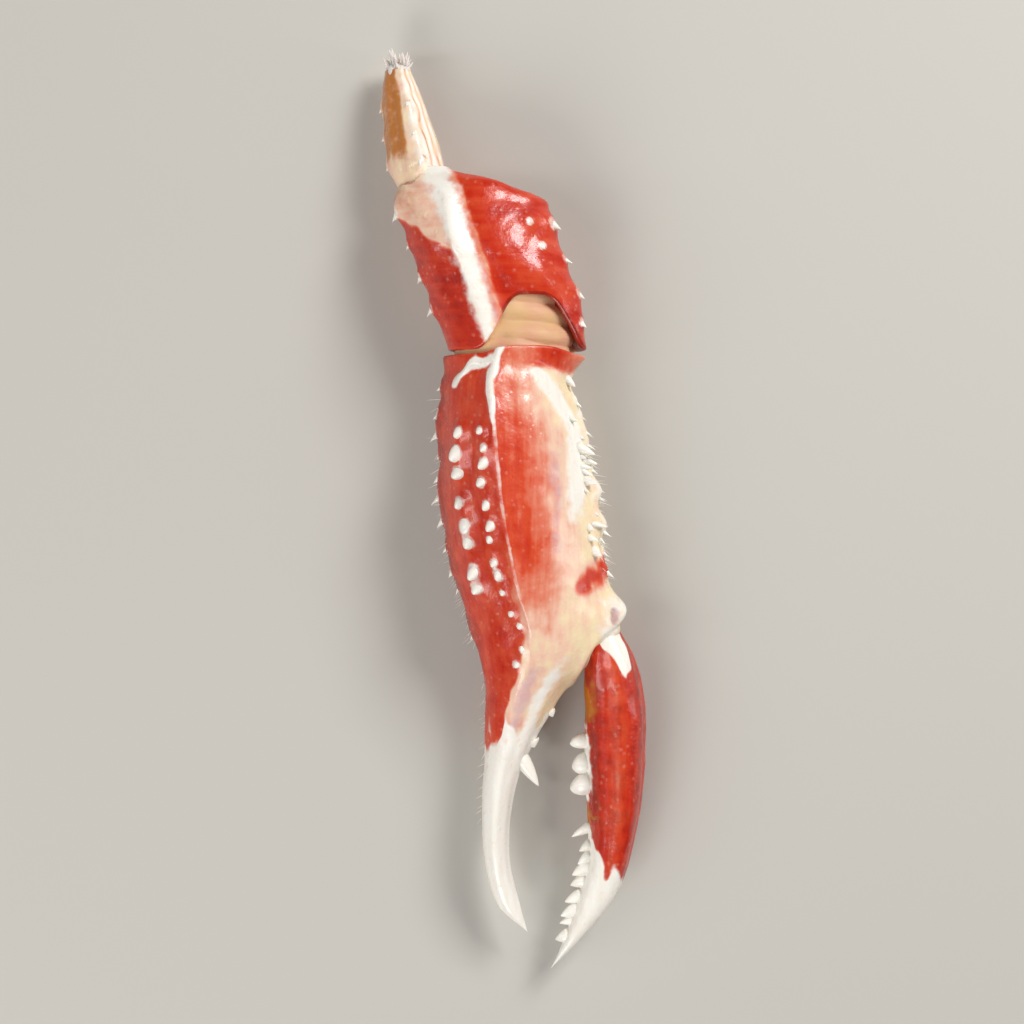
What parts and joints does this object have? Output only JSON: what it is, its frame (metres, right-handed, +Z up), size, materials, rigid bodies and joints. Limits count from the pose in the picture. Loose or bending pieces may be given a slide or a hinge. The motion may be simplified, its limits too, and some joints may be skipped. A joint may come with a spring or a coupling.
{
  "type": "cooked langoustine claw",
  "caption": "Cooked langoustine claw lying flat: ridged, knobbly palm with slim open pincers, short wrist and a tapering arm stub.",
  "frame": {"origin": "on the surface that the claw lies on, under the centre of its box", "axes": "+Z up, -Y towards the fingertips, +Y towards the arm, +X towards the movable finger"},
  "size_m": [0.0381, 0.13, 0.0179],
  "materials": {
    "salmon_shell": "wet gloss, pink shading to cream, with white knobs",
    "red_shell": "wet gloss, red, with white tips",
    "pale_shell": "wet gloss, pale pink",
    "joint_skin": "soft and moist, beige",
    "flesh": "soft, white"
  },
  "bodies": {
    "root": {"palm": "salmon_shell", "movable_finger": "red_shell", "wrist_membrane": "joint_skin", "wrist": "red_shell", "elbow_membrane": "joint_skin", "arm": "pale_shell", "arm_flesh": "flesh"}
  },
  "joints": []
}
